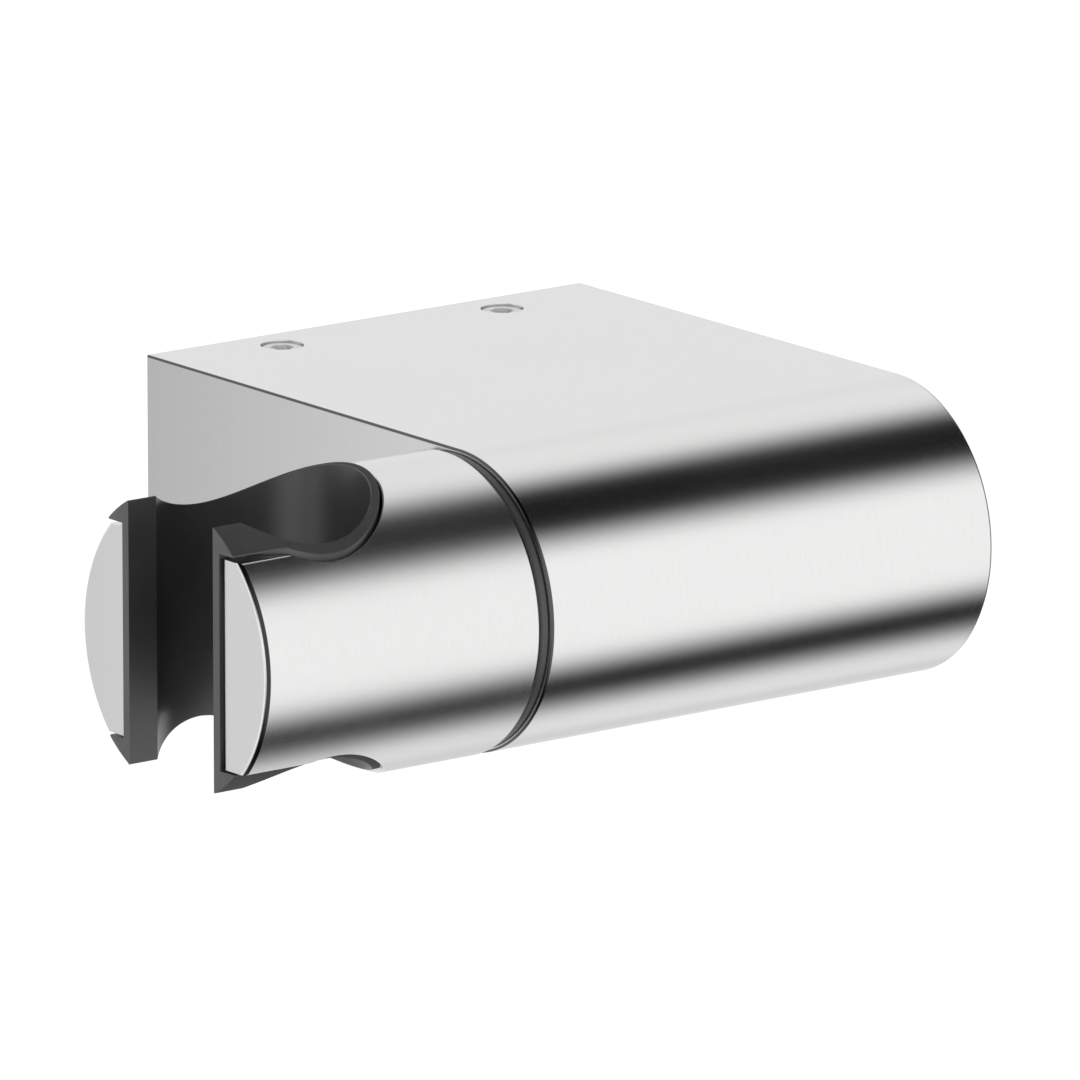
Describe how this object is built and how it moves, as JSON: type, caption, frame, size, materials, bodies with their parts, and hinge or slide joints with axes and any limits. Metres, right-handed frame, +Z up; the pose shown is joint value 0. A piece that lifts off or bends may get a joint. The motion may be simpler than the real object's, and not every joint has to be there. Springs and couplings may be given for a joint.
{
  "type": "hand shower holder",
  "caption": "Wall holder for a hand shower: brushed D-shaped housing with a round nose, a tilting swivel at its side, and a slotted plastic-lined socket.",
  "frame": {"origin": "on the wall plane, at the middle of the housing's back and level with the nose and pivot axis", "axes": "+Z up, +Y into the wall, +X along the pivot axis, away from the swivel and towards the housing's right side"},
  "size_m": [0.1036, 0.0775, 0.0354],
  "materials": {
    "brushed_body": "brushed along the pivot axis, satin",
    "liner_plastic": "fine matt, dark",
    "ring_plastic": "satin, dark grey",
    "bearing_plastic": "smooth natural plastic",
    "plate_steel": "plain rolled sheet",
    "bright_steel": "turned and ground",
    "screw_steel": "plain machined steel",
    "spring_steel": "phosphated spring steel",
    "seal_rubber": "matt black rubber"
  },
  "bodies": {
    "holder": {"housing": "brushed_body", "wall_plate": "plate_steel", "set_screw_left": "screw_steel", "set_screw_right": "screw_steel", "bearing_bush": "bearing_plastic", "spacer_ring": "ring_plastic", "thrust_washer": "bearing_plastic"},
    "swivel": {"swivel_body": "brushed_body", "socket_liner": "liner_plastic", "pivot_shaft": "bright_steel", "shaft_o_ring": "seal_rubber", "stop_pin": "bright_steel", "disc_spring_outer": "spring_steel", "disc_spring_inner": "spring_steel", "lock_washer": "spring_steel", "pivot_screw": "screw_steel"}
  },
  "joints": [
    {"name": "swivel_tilt", "type": "hinge", "parent": "holder", "child": "swivel", "pos_m": [-0.03175, -0.06, 0], "axis": [1, 0, 0], "range_deg": [-45, 45]}
  ]
}
